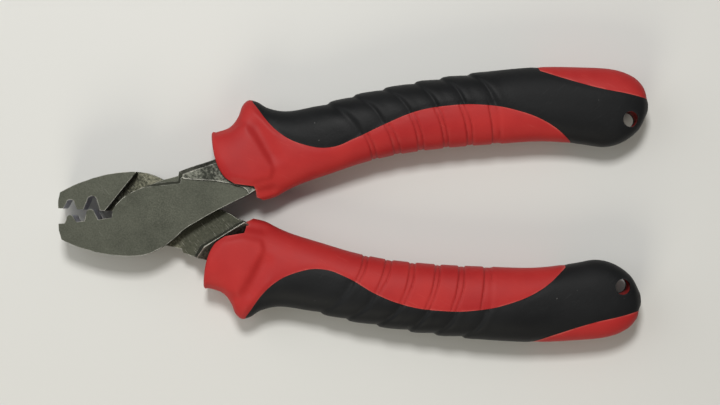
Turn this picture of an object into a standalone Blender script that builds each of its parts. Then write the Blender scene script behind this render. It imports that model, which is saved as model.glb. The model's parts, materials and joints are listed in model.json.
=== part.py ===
"""Small crimping pliers with a lap joint, modelled in the half open pose they are laid down in.

Two forged levers cross at a flush rivet. The jaw of one has two rounded teeth, the jaw of the other
has the two notches they press a sleeve into. Each tang is buried in a hard red grip, and a soft black
sleeve is moulded over part of that grip.

Axes: +X from the pivot to the ends of the grips, +Y across the head, +Z out of the front ground face.
The origin is on the pivot axis, in the plane of the back ground face.
"""

import math

import bmesh
import bpy
import numpy as np
from mathutils import Matrix, Vector

MM = 0.001

# Head
HEAD_THICKNESS = 9.5 * MM
LAP_GAP = 0.3 * MM
FORGED_RELIEF = 0.4 * MM
FRONT_ANGLE = math.radians(4.8)
REAR_ANGLE = math.radians(-3.8)

# Rivet
RIVET_RADIUS = 3.3 * MM
RIVET_END_RADIUS = 4.0 * MM
RIVET_CONE = 0.9 * MM
RIVET_CLEARANCE = 0.1 * MM
RIVET_STEPS = 40

JAW_TIP = -27.5
# Dies: x of the centre, half width at the closing line, height or depth
TEETH = ((-24.3, 1.6, 2.0), (-18.75, 1.85, 3.0))
NOTCHES = ((-24.3, 1.9, 2.5), (-18.55, 2.25, 3.7))

# Tang inside the grip
TANG_THICKNESS = 6.5 * MM
THIN_FROM = ((19.5, 40.0, True), (19.5, 23.0, True), (25.6, 6.5, True), (26.9, 3.5, True), (26.9, -5.0, True))
EDGE_CHAMFER = 1.1 * MM
HEEL_SLOPE = 1.3
TANG_DROP = 0.7

# Grips
GRIP_CLEARANCE = 0.3 * MM
SLEEVE_WALL = 1.5 * MM
FAR = 20.0 * MM
HANG_HOLE = (127.6, 11.8)
HANG_HOLE_RADIUS = 2.1 * MM
UPPER_GRIP_SHIFT = (-0.5 * MM, 0.0)
LOWER_GRIP_SHIFT = (-3.4 * MM, -0.85 * MM)
UPPER_GRIP_TURN = 0.0
LOWER_GRIP_TURN = math.radians(1.4)
# How far the hump of the sleeve edge and its tail are moved towards the outer edge of the grip
UPPER_SLEEVE_RISE = -0.8
LOWER_SLEEVE_RISE = 0.3
RING_POINTS = 16
RINGS_PER_SPAN = 3
SECTION_POWER = 2.0 / 2.6

# Outline of a lever seen from the front, in millimetres from the pivot, jaw to the left.
# A point marked True is a corner, the others lie on a smooth curve.
JAW_BACK = (
    (5.7, -4.9, False), (3.1, -6.8, False), (0.6, -8.4, False), (-2.8, -9.9, False),
    (-5.5, -10.6, False), (-8.9, -10.6, False), (-12.6, -10.1, False), (-16.4, -9.2, False),
    (-19.8, -8.0, False), (-23.6, -6.4, False), (-27.2, -4.3, True), (-27.6, -1.8, True),
)
THROAT = ((-13.2, 0.15, True), (-12.9, 1.6, False), (-12.2, 2.9, False))
BOSS = (
    (-11.0, 4.1, False), (-8.4, 5.8, False), (-4.7, 7.1, False), (-1.6, 7.9, False),
    (0.8, 8.6, False), (3.6, 9.1, False), (5.5, 9.4, True),
)
TANG_START = ((5.9, 10.5, True), (8.8, 11.3, False), (11.7, 11.9, False), (16.1, 12.9, False))
TANG_OUTER = ((25.0, 15.8, False), (35.0, 18.2, False), (50.0, 20.9, False), (70.0, 22.8, False))
TANG_END = ((91.0, 22.9, True), (93.0, 21.0, True), (93.0, 17.5, True), (91.0, 15.6, True))
TANG_INNER = ((70.0, 15.2, False), (50.0, 12.3, False), (38.0, 9.6, False), (30.5, 6.8, False))
FRONT_EDGE = ((25.8, 3.6, False), (18.7, 0.7, False), (13.3, -1.4, False), (9.5, -3.1, False))
REAR_EDGE = ((23.2, 1.9, False), (20.2, 0.7, False), (18.0, -0.6, False), (9.5, -3.2, False))

# Edge of the ground face, where the cutter stopped in the forged tang
GROUND_EDGE = (
    (5.6, 9.2), (7.4, 8.4), (11.3, 7.7), (15.4, 7.0), (19.0, 6.0), (21.9, 4.9), (23.2, 4.0), (23.9, 2.8),
)
# Front and outer edge of the tang, which the die leaves sloped
TANG_EDGE = ((5.4, 8.0), (5.9, 10.5), (8.8, 11.3), (11.7, 11.9), (16.1, 12.9), (24.0, 15.4))
# Lap pocket: the shoulder behind the jaw and the ridge at the start of the tang
SHOULDER = ((-17.0, 2.7), (-14.8, -0.3), (-7.3, -10.5), (-6.0, -12.3))
RIDGE = ((24.8, -0.4), (22.3, 1.3), (11.8, 8.4), (10.4, 11.0), (9.6, 13.5))

# Grip sections: outer x y, inner x y, half thickness, bulge of the mouth, all in millimetres
GRIP_SECTIONS = (
    (15.5, 19.8, 27.4, 0.5, 6.7, 3.9),
    (20.6, 20.9, 29.0, 0.7, 6.9, 3.0),
    (23.3, 23.4, 30.6, 1.0, 6.9, 1.9),
    (24.9, 26.5, 31.9, 1.4, 6.8, 1.1),
    (26.9, 27.8, 33.2, 2.0, 6.8, 0.5),
    (29.0, 27.0, 34.6, 2.6, 6.8, 0.2),
    (31.8, 25.0, 36.2, 3.2, 6.8, 0.0),
    (36.8, 23.7, 39.5, 4.2, 7.0, 0.0),
    (44.5, 24.3, 46.0, 5.7, 7.4, 0.0),
    (55.0, 26.1, 56.0, 7.9, 7.8, 0.0),
    (66.0, 27.4, 66.0, 9.1, 8.0, 0.0),
    (78.0, 28.3, 78.0, 9.4, 8.0, 0.0),
    (91.0, 28.7, 91.0, 9.1, 7.9, 0.0),
    (104.0, 28.5, 104.0, 8.5, 7.6, 0.0),
    (115.5, 27.3, 114.0, 6.7, 7.3, 0.0),
    (124.5, 25.8, 120.5, 5.2, 7.0, 0.0),
    (129.6, 23.5, 125.5, 6.0, 6.4, 0.0),
    (132.2, 20.6, 129.9, 8.7, 5.2, 0.0),
    (133.1, 17.4, 132.4, 12.4, 3.0, 0.0),
)
MOUTH_NOTCH = ((10.0, -9.0), (26.3, -9.0), (26.3, 3.0), (26.0, 4.5), (21.0, 5.7), (19.4, 6.9), (10.0, 14.0))

# Region covered by the black sleeve, seen from the front
SLEEVE_VALLEY = (
    (27.8, 27.0, True), (34.2, 18.0, False), (41.0, 13.9, False), (47.5, 12.7, False), (54.0, 14.4, False),
)
SLEEVE_HUMP = (
    (62.6, 18.2, False), (71.0, 20.6, False), (79.0, 21.2, False), (88.0, 20.6, False), (97.5, 18.1, False),
    (106.0, 13.6, False), (112.2, 7.5, True),
)
SLEEVE_AROUND_TAIL = ((113.0, -1.0, True), (140.0, -1.0, True), (140.0, 15.5, True))
SLEEVE_TAIL = (
    (132.5, 17.6, True), (127.0, 19.5, False), (121.0, 21.3, False), (111.7, 24.9, False), (105.0, 27.9, True),
)
SLEEVE_OUTSIDE = ((102.0, 36.0, True), (27.0, 36.0, True))


def clear_scene():
    """Remove whatever the file opened with."""
    for item in list(bpy.data.objects):
        bpy.data.objects.remove(item, do_unlink=True)


def make_collection(name):
    """Link a new collection to the scene and return it."""
    group = bpy.data.collections.new(name)
    bpy.context.scene.collection.children.link(group)
    return group


def make_material(name, colour, roughness, metallic):
    """Principled material with plain values."""
    material = bpy.data.materials.new(name)
    material.use_nodes = True
    shader = material.node_tree.nodes["Principled BSDF"]
    shader.inputs["Base Color"].default_value = (*colour, 1.0)
    shader.inputs["Roughness"].default_value = roughness
    shader.inputs["Metallic"].default_value = metallic
    material.diffuse_color = (*colour, 1.0)
    return material


def add_object(name, mesh, collection):
    """Object for a mesh, linked to its collection."""
    item = bpy.data.objects.new(name, mesh)
    collection.objects.link(item)
    return item


def as_cutter(item):
    """Mark an object as a tool of the model rather than a piece of it."""
    item.hide_render = True
    item.display_type = "WIRE"
    return item


def outline_points(points):
    """Trace a closed outline: corners stay sharp, the other points lie on a smooth curve."""
    data = bpy.data.curves.new("outline", "CURVE")
    data.dimensions = "2D"
    data.fill_mode = "NONE"
    data.resolution_u = 4
    spline = data.splines.new("BEZIER")
    spline.bezier_points.add(len(points) - 1)
    for place, (x, y, corner) in zip(spline.bezier_points, points):
        place.co = (x * MM, y * MM, 0.0)
        kind = "VECTOR" if corner else "AUTO"
        place.handle_left_type = kind
        place.handle_right_type = kind
    spline.use_cyclic_u = True
    curve = bpy.data.objects.new("outline", data)
    bpy.context.scene.collection.objects.link(curve)
    bpy.context.view_layer.update()
    mesh = bpy.data.meshes.new_from_object(curve.evaluated_get(bpy.context.evaluated_depsgraph_get()))
    traced = [Vector((v.co.x, v.co.y)) for v in mesh.vertices]
    bpy.data.objects.remove(curve, do_unlink=True)
    bpy.data.meshes.remove(mesh)
    kept = [traced[0]]
    for point in traced[1:]:
        if (point - kept[-1]).length > 0.05 * MM:
            kept.append(point)
    if (kept[-1] - kept[0]).length <= 0.05 * MM:
        kept.pop()
    area = sum(a.x * b.y - b.x * a.y for a, b in zip(kept, kept[1:] + kept[:1]))
    return kept if area > 0.0 else kept[::-1]


def grown(points, distance):
    """The same counter-clockwise outline moved outwards by a distance."""
    moved = []
    for before, here, after in zip(points[-1:] + points[:-1], points, points[1:] + points[:1]):
        first = (here - before).normalized()
        second = (after - here).normalized()
        normal = Vector((first.y + second.y, -first.x - second.x)).normalized()
        stretch = max(0.5, normal.dot(Vector((first.y, -first.x))))
        moved.append(here + normal * distance / stretch)
    return moved


def prism(name, low, low_z, high_z, collection, high=None):
    """Solid between a flat outline and the same outline, or one with its points moved, at another height."""
    form = bmesh.new()
    face = form.faces.new([form.verts.new((p.x, p.y, low_z)) for p in low])
    raised = bmesh.ops.extrude_face_region(form, geom=[face], use_keep_orig=True)["geom"]
    goals = {(round(p.x, 7), round(p.y, 7)): q for p, q in zip(low, high or low)}
    for vertex in raised:
        if isinstance(vertex, bmesh.types.BMVert):
            goal = goals[(round(vertex.co.x, 7), round(vertex.co.y, 7))]
            vertex.co = (goal.x, goal.y, high_z)
    bmesh.ops.recalc_face_normals(form, faces=form.faces)
    mesh = bpy.data.meshes.new(name)
    form.to_mesh(mesh)
    form.free()
    return add_object(name, mesh, collection)


def corners(points):
    """Outline with straight sides, in metres."""
    return [Vector((x * MM, y * MM)) for x, y in points]


def combine(target, tool, operation):
    """Apply an exact Boolean to a mesh object."""
    modifier = target.modifiers.new(operation.title(), "BOOLEAN")
    modifier.operation = operation
    modifier.solver = "EXACT"
    modifier.object = tool
    bpy.context.view_layer.update()
    solid = bpy.data.meshes.new_from_object(target.evaluated_get(bpy.context.evaluated_depsgraph_get()))
    target.modifiers.clear()
    spare = target.data
    target.data = solid
    bpy.data.meshes.remove(spare)


def turned(name, profile, collection):
    """Solid of revolution about Z from a profile of (radius, z) running down its outer side."""
    form = bmesh.new()
    places = [form.verts.new((r, 0.0, z)) for r, z in profile]
    for upper, lower in zip(places, places[1:]):
        form.edges.new((upper, lower))
    mesh = bpy.data.meshes.new(name)
    form.to_mesh(mesh)
    form.free()
    item = add_object(name, mesh, collection)
    screw = item.modifiers.new("Screw", "SCREW")
    screw.steps = RIVET_STEPS
    screw.render_steps = RIVET_STEPS
    screw.use_merge_vertices = True
    screw.merge_threshold = 0.00001
    return item


def rivet(name, collection, growth):
    """Straight shank with both ends spread into cones and ground flush."""
    half = HEAD_THICKNESS / 2.0
    reach = half + (MM if growth > 0.0 else 0.0)
    shank = RIVET_RADIUS + growth
    end = RIVET_END_RADIUS + growth
    flare = end + (reach - half) * (end - shank) / RIVET_CONE
    profile = (
        (0.0, reach), (flare, reach), (shank, half - RIVET_CONE),
        (shank, RIVET_CONE - half), (flare, -reach), (0.0, -reach),
    )
    return turned(name, profile, collection)


def rounded_peg(centre, half_width, height):
    """Points of a round topped tooth or, with a negative height, of a notch, from left to right."""
    crown = 0.62 * half_width
    crown_height = abs(height) - crown
    sign = math.copysign(1.0, height)
    points = [(centre - half_width, 0.0, True)]
    for step in range(5):
        angle = math.pi * (1.0 - step / 4.0)
        level = crown_height + crown * math.sin(angle)
        points.append((centre + crown * math.cos(angle), sign * level, False))
    points.append((centre + half_width, 0.0, True))
    return points


def placed(points, turn, shift):
    """Outline points turned about the origin and shifted."""
    cosine = math.cos(turn)
    sine = math.sin(turn)
    moved = []
    for x, y, corner in points:
        across = x * cosine - y * sine + shift[0] / MM
        along = x * sine + y * cosine + shift[1] / MM
        moved.append((across, along, corner))
    return tuple(moved)


def lever_outline(dies, inner_edge, grip_turn, grip_shift):
    """Whole outline of a lever: jaw face, boss, tang and back."""
    face = [(JAW_TIP, 0.0, True)]
    for centre, half_width, height in dies:
        face += rounded_peg(centre, half_width, height)
    tang_outer = placed(TANG_OUTER + TANG_END + TANG_INNER, grip_turn, grip_shift)
    return outline_points(tuple(face) + THROAT + BOSS + TANG_START + tang_outer + inner_edge + JAW_BACK)


def tang_blank(name, outline, thin_from, growth, collection, cutters):
    """Forged blank: thick in the head, thinner where the grip covers the tang."""
    half = HEAD_THICKNESS / 2.0 + FORGED_RELIEF + growth
    blank = prism(name, grown(outline, growth) if growth else outline, -half, half, collection)
    thin = TANG_THICKNESS / 2.0 + growth
    start = 1.4 * growth / MM
    line = tuple((x + start, y) for x, y, corner in thin_from)
    covered = corners(line + ((120.0, -5.0), (120.0, 40.0)))
    for low, high in ((thin, 2.0 * half), (-2.0 * half, -thin)):
        side = as_cutter(prism(name + "_thinning", covered, low, high, cutters))
        combine(blank, side, "DIFFERENCE")
    return blank


def chamfer_tang(name, blank, cutters):
    """Slope the front and outer edge of the tang, as the forging die leaves it."""
    area = corners(TANG_EDGE + ((24.0, 30.0), (-6.0, 30.0), (-6.0, 8.0)))
    face = HEAD_THICKNESS / 2.0 + FORGED_RELIEF
    low, high = face - EDGE_CHAMFER, face + EDGE_CHAMFER
    slope = prism(name + "_chamfer", area, low, high, cutters, grown(area, 2.0 * EDGE_CHAMFER))
    combine(blank, as_cutter(slope), "DIFFERENCE")


def lever(name, outline, thin_from, collection, cutters):
    """Forged lever with its ground faces, lap pocket and rivet hole."""
    half = HEAD_THICKNESS / 2.0
    body = tang_blank(name, outline, thin_from, 0.0, collection, cutters)
    chamfer_tang(name, body, cutters)
    ground = corners(((5.6, 20.0),) + GROUND_EDGE + ((24.3, 1.0), (24.3, -20.0), (-35.0, -20.0), (-35.0, 20.0)))
    front = as_cutter(prism(name + "_front_grinding", ground, half, 2.0 * half, cutters))
    back_area = corners(((5.0, 20.0), (5.0, -20.0), (-35.0, -20.0), (-35.0, 20.0)))
    back = as_cutter(prism(name + "_back_grinding", back_area, -2.0 * half, -half, cutters))
    combine(body, front, "DIFFERENCE")
    combine(body, back, "DIFFERENCE")
    around = SHOULDER + ((-6.0, -16.0), (26.0, -16.0))
    pocket_floor = corners(around + shifted_ridge(-HEEL_SLOPE) + ((-17.0, 13.5),))
    pocket_mouth = corners(around + shifted_ridge(HEEL_SLOPE / 4.0) + ((-17.0, 13.5),))
    pocket = prism(name + "_lap", pocket_mouth, -1.25 * half, LAP_GAP / 2.0, cutters, pocket_floor)
    combine(body, as_cutter(pocket), "DIFFERENCE")
    combine(body, as_cutter(tang_slope(name, cutters)), "DIFFERENCE")
    combine(body, as_cutter(rivet(name + "_hole", cutters, RIVET_CLEARANCE)), "DIFFERENCE")
    body.data.materials.append(STEEL)
    return body


def shifted_ridge(distance):
    """Points of the heel ridge moved along X, the direction in which it leans."""
    return tuple((x + distance, y) for x, y in RIDGE)


def tang_slope(name, cutters):
    """Wedge that drops the lap side of the tang away from the heel ridge."""
    start = Vector((RIDGE[1][0] * MM, RIDGE[1][1] * MM))
    end = Vector((RIDGE[2][0] * MM, RIDGE[2][1] * MM))
    along = (end - start).normalized()
    away = Vector((along.y, -along.x))
    face = HEAD_THICKNESS / 2.0 + FORGED_RELIEF
    reach = 9.0 * MM
    section = [
        Vector((0.25 * MM, -face - 3.0 * MM)), Vector((reach, -face - 3.0 * MM)),
        Vector((reach, -face + TANG_DROP * reach)), Vector((0.25 * MM, -face)),
    ]
    wedge = prism(name + "_slope", section, -8.0 * MM, 22.0 * MM, cutters)
    wedge.matrix_world = Matrix((
        (away.x, 0.0, along.x, start.x),
        (away.y, 0.0, along.y, start.y),
        (0.0, 1.0, 0.0, 0.0),
        (0.0, 0.0, 0.0, 1.0),
    ))
    return wedge


def grip_rings():
    """Sections of a grip interpolated along its length, from the mouth to the tail."""
    rows = np.array(GRIP_SECTIONS)
    padded = np.vstack((2.0 * rows[0] - rows[1], rows, 2.0 * rows[-1] - rows[-2]))
    samples = []
    for span in range(len(rows) - 1):
        before, here, there, after = padded[span:span + 4]
        for step in range(RINGS_PER_SPAN):
            t = step / RINGS_PER_SPAN
            samples.append(
                here + 0.5 * t * (there - before)
                + t * t * (before - 2.5 * here + 2.0 * there - 0.5 * after)
                + t * t * t * (1.5 * (here - there) + 0.5 * (after - before))
            )
    samples.append(rows[-1])
    return samples


def ring_points(section):
    """Closed ring of points round one grip section."""
    outer = Vector(section[0:2])
    inner = Vector(section[2:4])
    middle = (outer + inner) / 2.0
    reach = (outer - inner) / 2.0
    forward = Vector((-reach.y, reach.x)).normalized()
    points = []
    for step in range(RING_POINTS):
        angle = 2.0 * math.pi * step / RING_POINTS
        across = math.copysign(abs(math.cos(angle)) ** SECTION_POWER, math.cos(angle))
        upward = math.copysign(abs(math.sin(angle)) ** SECTION_POWER, math.sin(angle))
        plan = middle + reach * across + forward * section[5] * math.cos(across * math.pi / 2.0)
        points.append((plan.x * MM, plan.y * MM, section[4] * upward * MM))
    return points


def grip_form(name, inset, collection):
    """Whole outside form of a grip, or the same form shrunk by an inset."""
    form = bmesh.new()
    rings = [[form.verts.new(p) for p in ring_points(section)] for section in grip_rings()]
    for ring, following in zip(rings, rings[1:]):
        for step in range(RING_POINTS):
            after = (step + 1) % RING_POINTS
            form.faces.new((ring[step], ring[after], following[after], following[step]))
    ends = [form.faces.new(rings[0]), form.faces.new(rings[-1])]
    bmesh.ops.poke(form, faces=ends)
    bmesh.ops.recalc_face_normals(form, faces=form.faces)
    form.normal_update()
    for vertex in form.verts:
        vertex.co -= vertex.normal * inset
    mesh = bpy.data.meshes.new(name)
    form.to_mesh(mesh)
    form.free()
    return add_object(name, mesh, collection)


def hang_hole(name, cutters):
    """Round cutter for the hole in the tail of a grip."""
    form = bmesh.new()
    bmesh.ops.create_cone(
        form, cap_ends=True, segments=24, radius1=HANG_HOLE_RADIUS, radius2=HANG_HOLE_RADIUS, depth=30.0 * MM,
    )
    mesh = bpy.data.meshes.new(name)
    form.to_mesh(mesh)
    form.free()
    hole = add_object(name, mesh, cutters)
    hole.location = (HANG_HOLE[0] * MM, HANG_HOLE[1] * MM, 0.0)
    return as_cutter(hole)


def grip(side, blank_outline, thin_from, turn, shift, rise, collection, cutters):
    """Hard core and soft sleeve of one grip, made in the grip's own frame."""
    raised = tuple((x, y + rise, corner) for x, y, corner in SLEEVE_HUMP + SLEEVE_AROUND_TAIL + SLEEVE_TAIL)
    region = outline_points(SLEEVE_VALLEY + raised + SLEEVE_OUTSIDE)
    hole = hang_hole(side + "_hang_hole", cutters)

    sleeve = grip_form(side + "_grip_sleeve", 0.0, collection)
    cover = as_cutter(prism(side + "_sleeve_region", region, -FAR, FAR, cutters))
    combine(sleeve, cover, "INTERSECT")
    combine(sleeve, as_cutter(grip_form(side + "_sleeve_inside", SLEEVE_WALL, cutters)), "DIFFERENCE")
    combine(sleeve, hole, "DIFFERENCE")

    bed = as_cutter(prism(side + "_sleeve_bed", grown(region, GRIP_CLEARANCE), -FAR, FAR, cutters))
    combine(bed, as_cutter(grip_form(side + "_bed_floor", SLEEVE_WALL + GRIP_CLEARANCE, cutters)), "DIFFERENCE")
    core = grip_form(side + "_grip_core", 0.0, collection)
    combine(core, bed, "DIFFERENCE")
    combine(core, hole, "DIFFERENCE")
    notch = as_cutter(prism(side + "_mouth_notch", corners(MOUTH_NOTCH), -FAR, FAR, cutters))
    combine(core, notch, "DIFFERENCE")

    name = side + "_tang_socket"
    socket = as_cutter(tang_blank(name, blank_outline, thin_from, GRIP_CLEARANCE, cutters, cutters))
    place = Matrix.Translation((shift[0], shift[1], 0.0)) @ Matrix.Rotation(turn, 4, "Z")
    socket.matrix_world = place.inverted()
    combine(core, socket, "DIFFERENCE")

    core.data.materials.append(RED)
    sleeve.data.materials.append(BLACK)
    for piece in (core, sleeve):
        piece.location = (shift[0], shift[1], 0.0)
        piece.rotation_euler = (0.0, 0.0, turn)
    return [core, sleeve]


def hinge_half(name, angle, flip, collection):
    """Empty on the pivot axis that carries one lever and its grip."""
    half = bpy.data.objects.new(name, None)
    collection.objects.link(half)
    half.location = (0.0, 0.0, HEAD_THICKNESS / 2.0)
    half.rotation_euler = (flip, 0.0, angle)
    return half


def build():
    """Model the pliers."""
    pieces = make_collection("crimping_pliers")
    cutters = make_collection("cutters")
    notches = tuple((centre, half_width, -depth) for centre, half_width, depth in NOTCHES)
    upper = (UPPER_GRIP_TURN, UPPER_GRIP_SHIFT, UPPER_SLEEVE_RISE)
    lower = (LOWER_GRIP_TURN, LOWER_GRIP_SHIFT, LOWER_SLEEVE_RISE)
    halves = (
        ("front", "upper", FRONT_ANGLE, 0.0, TEETH, FRONT_EDGE, *upper),
        ("rear", "lower", REAR_ANGLE, math.pi, notches, REAR_EDGE, *lower),
    )
    for lever_side, grip_side, angle, flip, dies, edge, turn, shift, rise in halves:
        half = hinge_half(lever_side + "_half", angle, flip, pieces)
        outline = lever_outline(dies, edge, turn, shift)
        thin_from = placed(THIN_FROM, turn, shift)
        members = [lever(lever_side + "_lever", outline, thin_from, pieces, cutters)]
        members += grip(grip_side, outline, thin_from, turn, shift, rise, pieces, cutters)
        if lever_side == "front":
            pin = rivet("pivot_rivet", pieces, 0.0)
            pin.data.materials.append(RIVET_STEEL)
            members.append(pin)
        for member in members:
            member.parent = half


clear_scene()
STEEL = make_material("blasted_steel", (0.115, 0.118, 0.098), 0.48, 0.85)
RIVET_STEEL = make_material("rivet_steel", (0.13, 0.13, 0.11), 0.45, 0.85)
RED = make_material("red_plastic", (0.42, 0.03, 0.03), 0.45, 0.0)
BLACK = make_material("black_rubber", (0.02, 0.021, 0.022), 0.6, 0.0)
build()
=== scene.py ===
import json
import math

import bmesh
import bpy
import numpy as np
from mathutils import Euler, Matrix, Vector

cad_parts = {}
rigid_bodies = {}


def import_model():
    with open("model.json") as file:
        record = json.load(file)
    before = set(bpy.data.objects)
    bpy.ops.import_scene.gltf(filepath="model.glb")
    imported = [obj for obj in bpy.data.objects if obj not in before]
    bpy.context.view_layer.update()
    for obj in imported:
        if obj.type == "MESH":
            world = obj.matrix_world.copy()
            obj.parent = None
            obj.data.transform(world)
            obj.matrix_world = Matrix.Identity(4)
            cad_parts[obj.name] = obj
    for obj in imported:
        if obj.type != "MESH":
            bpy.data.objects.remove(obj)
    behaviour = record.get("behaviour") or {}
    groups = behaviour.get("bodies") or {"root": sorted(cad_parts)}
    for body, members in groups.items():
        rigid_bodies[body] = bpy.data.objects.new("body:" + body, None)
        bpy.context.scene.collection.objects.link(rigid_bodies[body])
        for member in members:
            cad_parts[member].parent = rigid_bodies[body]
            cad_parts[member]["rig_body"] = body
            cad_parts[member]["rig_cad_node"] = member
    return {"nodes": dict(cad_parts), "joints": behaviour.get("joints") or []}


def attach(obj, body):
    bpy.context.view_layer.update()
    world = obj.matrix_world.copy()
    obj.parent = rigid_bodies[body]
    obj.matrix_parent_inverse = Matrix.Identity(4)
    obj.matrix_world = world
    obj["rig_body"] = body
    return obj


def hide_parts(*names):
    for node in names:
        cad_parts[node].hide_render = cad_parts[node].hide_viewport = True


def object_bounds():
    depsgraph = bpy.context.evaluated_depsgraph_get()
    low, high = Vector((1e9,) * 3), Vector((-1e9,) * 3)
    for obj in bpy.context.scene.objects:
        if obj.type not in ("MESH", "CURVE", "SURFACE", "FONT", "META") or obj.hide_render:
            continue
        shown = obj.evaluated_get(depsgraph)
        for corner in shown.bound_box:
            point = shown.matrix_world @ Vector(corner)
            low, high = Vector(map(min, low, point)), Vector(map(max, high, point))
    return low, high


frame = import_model()
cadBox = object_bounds()
mm = 0.001
pivot = Vector(frame["joints"][0]["pos_m"])
print("frame loaded:", ", ".join(sorted(frame["nodes"])))

# in mm; faces that meet under the angle flatUnder, in degrees, count as one
meshing = {
    "merge": 0.002,
    "mergeCut": 0.03,
    "flatUnder": 0.3,
    "curveSteps": 10,
    "outlineStep": 0.04,
    "cutReach": 20,
    "faceWeight": 80,
    "leastHeight": 0.002,
}


def deselectAll():
    bpy.ops.object.select_all(action="DESELECT")


def pick(piece):
    deselectAll()
    piece.select_set(True)
    bpy.context.view_layer.objects.active = piece


def applyModifiers(piece):
    pick(piece)
    for modifier in list(piece.modifiers):
        bpy.ops.object.modifier_apply(modifier=modifier.name)


def bakePlace(piece):
    pick(piece)
    bpy.ops.object.transform_apply(location=True, rotation=True, scale=True)


def copyOf(piece, name):
    twin = piece.copy()
    twin.data = piece.data.copy()
    twin.name = name
    bpy.context.scene.collection.objects.link(twin)
    return twin


def cutWith(piece, operation, tools):
    box = bpy.data.collections.new("tools")
    bpy.context.scene.collection.children.link(box)
    for tool in tools:
        box.objects.link(tool)
    modifier = piece.modifiers.new("cut", "BOOLEAN")
    modifier.operation = operation
    modifier.solver = "EXACT"
    modifier.operand_type = "COLLECTION"
    modifier.collection = box
    applyModifiers(piece)
    bpy.data.collections.remove(box)


def throwAway(pieces):
    for piece in pieces:
        bpy.data.objects.remove(piece, do_unlink=True)


view = {
    "place": (53.1 * mm, 1.7 * mm, 520 * mm),
    "turn": -1.2,
    "lens": 95.7,
    "sensor": 36,
    "farthest": 20,
}

# places in metres, powers in watts
lights = {
    "window": {"place": (0.02, 0.33, 0.74), "size": 0.15, "power": 4.45, "colour": (1.0, 0.99, 0.97)},
    "room": {"place": (-0.5, 0.25, 0.5), "size": 0.7, "power": 1.9, "colour": (0.96, 1.0, 1.0)},
    "front": {"place": (-0.10, -0.52, 0.34), "size": 0.3, "power": 1.5, "colour": (1.0, 0.95, 0.80)},
}

table = {
    "colour": (0.60, 0.60, 0.58),
    "roughness": 0.55,
    "side": 4.0,
    "air": (0.90, 0.86, 0.83),
    "airStrength": 0.215,
}


def setCamera():
    bpy.ops.object.camera_add(location=view["place"], rotation=(0, 0, math.radians(view["turn"])))
    camera = bpy.context.object
    camera.data.lens = view["lens"]
    camera.data.sensor_width = view["sensor"]
    camera.data.clip_end = view["farthest"]
    bpy.context.scene.camera = camera


def setLights():
    middle = (cadBox[0] + cadBox[1]) / 2
    for name, spec in lights.items():
        bpy.ops.object.light_add(type="AREA", location=spec["place"])
        lamp = bpy.context.object
        lamp.name = name + "Light"
        lamp.data.size = spec["size"]
        lamp.data.energy = spec["power"]
        lamp.data.color = spec["colour"]
        lamp.rotation_euler = (middle - lamp.location).to_track_quat("-Z", "Y").to_euler()
    world = bpy.data.worlds.new("air")
    world.use_nodes = True
    air = world.node_tree.nodes["Background"]
    air.inputs["Color"].default_value = (*table["air"], 1)
    air.inputs["Strength"].default_value = table["airStrength"]
    bpy.context.scene.world = world
    bpy.context.scene.view_settings.view_transform = "Standard"


def setTable():
    bpy.ops.mesh.primitive_plane_add(size=table["side"], location=(0, 0, cadBox[0].z))
    floor = bpy.context.object
    floor.name = "table"
    bakePlace(floor)
    finish = bpy.data.materials.new("paleTable")
    finish.use_nodes = True
    shader = finish.node_tree.nodes["Principled BSDF"]
    shader.inputs["Base Color"].default_value = (*table["colour"], 1)
    shader.inputs["Roughness"].default_value = table["roughness"]
    floor.data.materials.append(finish)


setCamera()
setLights()
setTable()
print("camera, light and table are in place")


# one smooth form serves both grips, and is then split into the hard core and the soft sleeve
gripForm = {
    # outer x y, inner x y, half thickness, bulge of the mouth, in mm in the grip's own frame
    "sections": (
        (15.5, 19.8, 27.4, 0.5, 6.7, 3.9),
        (20.6, 20.9, 29.0, 0.7, 6.9, 3.0),
        (23.3, 23.4, 30.6, 1.0, 6.9, 1.9),
        (24.9, 26.5, 31.9, 1.4, 6.8, 1.1),
        (26.9, 27.8, 33.2, 2.0, 6.8, 0.5),
        (29.0, 27.0, 34.6, 2.6, 6.8, 0.2),
        (31.8, 25.0, 36.2, 3.2, 6.8, 0.0),
        (36.8, 23.7, 39.5, 4.2, 7.0, 0.0),
        (44.5, 24.3, 46.0, 5.7, 7.4, 0.0),
        (55.0, 26.1, 56.0, 7.9, 7.8, 0.0),
        (66.0, 27.4, 66.0, 9.1, 8.0, 0.0),
        (78.0, 28.3, 78.0, 9.4, 8.0, 0.0),
        (91.0, 28.7, 91.0, 9.1, 7.9, 0.0),
        (104.0, 28.5, 104.0, 8.5, 7.6, 0.0),
        (115.5, 27.3, 114.0, 6.7, 7.3, 0.0),
        (124.5, 25.8, 120.5, 5.2, 7.0, 0.0),
        (129.6, 23.5, 125.5, 6.0, 6.4, 0.0),
        (132.2, 20.6, 129.9, 8.7, 5.2, 0.0),
        (133.1, 17.4, 132.4, 12.4, 3.0, 0.0),
        (133.35, 16.2, 133.0, 13.6, 1.6, 0.0),
    ),
    "squareness": 2.6,
    "around": 112,
    "step": 0.55,
    "ribStep": 0.2,
    "ribStretch": (54.0, 96.0),
    "mouthRadius": 0.9,
    "mouthTurns": (90, 68, 45, 22, 0),
    "innerStep": 1.8,
    "innerAround": 40,
    "wall": 1.5,
    "gap": 0.06,
    "socketRoom": 0.12,
    "smoothUnder": 40,
}

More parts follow.
